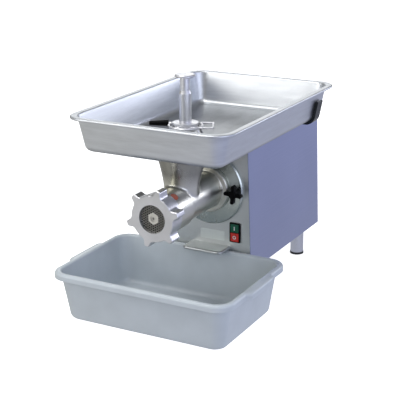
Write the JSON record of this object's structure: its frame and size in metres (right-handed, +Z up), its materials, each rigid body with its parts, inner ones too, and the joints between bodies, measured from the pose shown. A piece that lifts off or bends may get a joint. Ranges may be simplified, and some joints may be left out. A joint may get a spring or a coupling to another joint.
{
  "type": "electric meat grinder",
  "caption": "Bench meat grinder with a geared motor in a sheet-steel housing, a feed pan with throat guard and pusher, a ring-nut head and a catch tub.",
  "frame": {"origin": "on the table, under the centre of the overall box of machine and tub", "axes": "+Z up, -Y to the front where the plate faces, head axis along Y at x = 22 mm, z = 312 mm"},
  "size_m": [0.557, 0.8514, 0.652],
  "materials": {
    "housing_steel": "satin stainless sheet",
    "panel_steel": "satin stainless sheet",
    "leg_steel": "satin steel",
    "foot_rubber": "matte black rubber",
    "label": "blank light grey plate",
    "black_plastic": "fine textured black plastic",
    "green_button": "glossy green",
    "red_button": "glossy red",
    "capacitor_can": "plain drawn can",
    "screw_steel": "zinc plated",
    "gearbox_iron": "grey painted casting",
    "seal_rubber": "brown-black nitrile rubber",
    "bearing_steel": "ground steel",
    "shaft_steel": "ground steel",
    "gear_steel": "oiled machined steel",
    "motor_paint": "cast and painted",
    "lamination_steel": "varnished laminations",
    "winding_copper": "varnished copper wire",
    "head_metal": "polished stainless casting",
    "disc_metal": "polished",
    "plug_red": "copper red plug",
    "auger_metal": "tumbled stainless casting",
    "knife_steel": "ground tool steel",
    "plate_steel": "ground tool steel",
    "nut_metal": "satin stainless casting",
    "pan_metal": "satin pressed aluminium",
    "cradle_black": "black powder coat",
    "guard_steel": "polished stainless",
    "plunger_plastic": "white food-grade plastic",
    "tub_plastic": "moulded grey polyethylene"
  },
  "bodies": {
    "machine": {"housing_shell": "housing_steel", "front_panel": "panel_steel", "rear_panel": "panel_steel", "base_plate": "panel_steel", "legs": "leg_steel", "tub_lip": "leg_steel", "feet": "foot_rubber", "label_plate": "label", "switch_frame": "black_plastic", "switch_body": "black_plastic", "terminal_block": "black_plastic", "cable_gland": "black_plastic", "run_capacitor": "capacitor_can", "panel_screws": "screw_steel", "gearbox_bolts": "screw_steel", "clamp_studs": "screw_steel", "gearbox_case": "gearbox_iron", "gearbox_cover": "gearbox_iron", "gearbox_foot": "gearbox_iron", "motor_foot": "gearbox_iron", "output_seal": "seal_rubber", "output_bearings": "bearing_steel", "idler_bearings": "bearing_steel", "motor_bearings": "bearing_steel", "plate_key": "shaft_steel", "motor_frame": "motor_paint", "motor_end_bell": "motor_paint", "fan_cowl": "motor_paint", "stator_core": "lamination_steel", "stator_windings": "winding_copper", "head_casting": "head_metal", "clamp_disc": "disc_metal", "throat_plug": "plug_red", "grinding_plate": "plate_steel", "pan_cradle": "cradle_black"},
    "drive_auger": {"auger_screw": "auger_metal", "knife_stud": "shaft_steel", "knife": "knife_steel", "thrust_washer": "shaft_steel", "output_shaft": "shaft_steel", "output_gear": "gear_steel"},
    "drive_idler": {"idler_shaft": "shaft_steel", "idler_pinion": "gear_steel", "idler_gear": "gear_steel"},
    "drive_rotor": {"motor_shaft": "shaft_steel", "motor_pinion": "gear_steel", "rotor_core": "lamination_steel", "cooling_fan": "black_plastic"},
    "nut": {"ring_nut": "nut_metal"},
    "knob_left": {"clamp_knob_left": "black_plastic"},
    "knob_right": {"clamp_knob_right": "black_plastic"},
    "start": {"start_button": "green_button"},
    "stop": {"stop_button": "red_button"},
    "pan": {"feed_pan": "pan_metal"},
    "guard": {"throat_guard": "guard_steel", "guard_grip": "black_plastic"},
    "pusher": {"pusher_rod": "guard_steel", "pusher_plunger": "plunger_plastic"},
    "tub": {"catch_tub": "tub_plastic"}
  },
  "joints": [
    {"name": "auger_spin", "type": "hinge", "parent": "machine", "child": "drive_auger", "pos_m": [0.022, 0, 0.312], "axis": [0, -1, 0], "continuous": true},
    {"name": "idler_spin", "type": "hinge", "parent": "machine", "child": "drive_idler", "pos_m": [-0.028, 0, 0.24326], "axis": [0, -1, 0], "continuous": true},
    {"name": "rotor_spin", "type": "hinge", "parent": "machine", "child": "drive_rotor", "pos_m": [0.022, 0, 0.19145], "axis": [0, -1, 0], "continuous": true},
    {"name": "ring_nut_turn", "type": "hinge", "parent": "machine", "child": "nut", "pos_m": [0.022, -0.34, 0.312], "axis": [0, -1, 0], "range_deg": [0, 1620]},
    {"name": "left_knob_turn", "type": "hinge", "parent": "machine", "child": "knob_left", "pos_m": [-0.067, -0.08, 0.312], "axis": [0, -1, 0], "range_deg": [0, 2160]},
    {"name": "right_knob_turn", "type": "hinge", "parent": "machine", "child": "knob_right", "pos_m": [0.111, -0.08, 0.312], "axis": [0, -1, 0], "range_deg": [0, 2160]},
    {"name": "start_press", "type": "slide", "parent": "machine", "child": "start", "axis": [0, 1, 0], "range_m": [0, 0.004], "stiffness_N_per_m": 600, "springref_m": -0.001},
    {"name": "stop_press", "type": "slide", "parent": "machine", "child": "stop", "axis": [0, 1, 0], "range_m": [0, 0.004], "stiffness_N_per_m": 600, "springref_m": -0.001},
    {"name": "pan_lift", "type": "slide", "parent": "machine", "child": "pan", "axis": [0, 0, 1], "range_m": [0, 0.15]},
    {"name": "guard_lift", "type": "slide", "parent": "pan", "child": "guard", "axis": [0, 0, 1], "range_m": [0, 0.12]},
    {"name": "pusher_lift", "type": "slide", "parent": "guard", "child": "pusher", "axis": [0, 0, 1], "range_m": [0, 0.14]},
    {"name": "tub_slide", "type": "slide", "parent": "machine", "child": "tub", "axis": [0, -1, 0], "range_m": [0, 0.38]}
  ],
  "couplings": [
    {"joint": "idler_spin", "follows": "auger_spin", "ratio": -2.7778},
    {"joint": "rotor_spin", "follows": "auger_spin", "ratio": 8.3333}
  ]
}
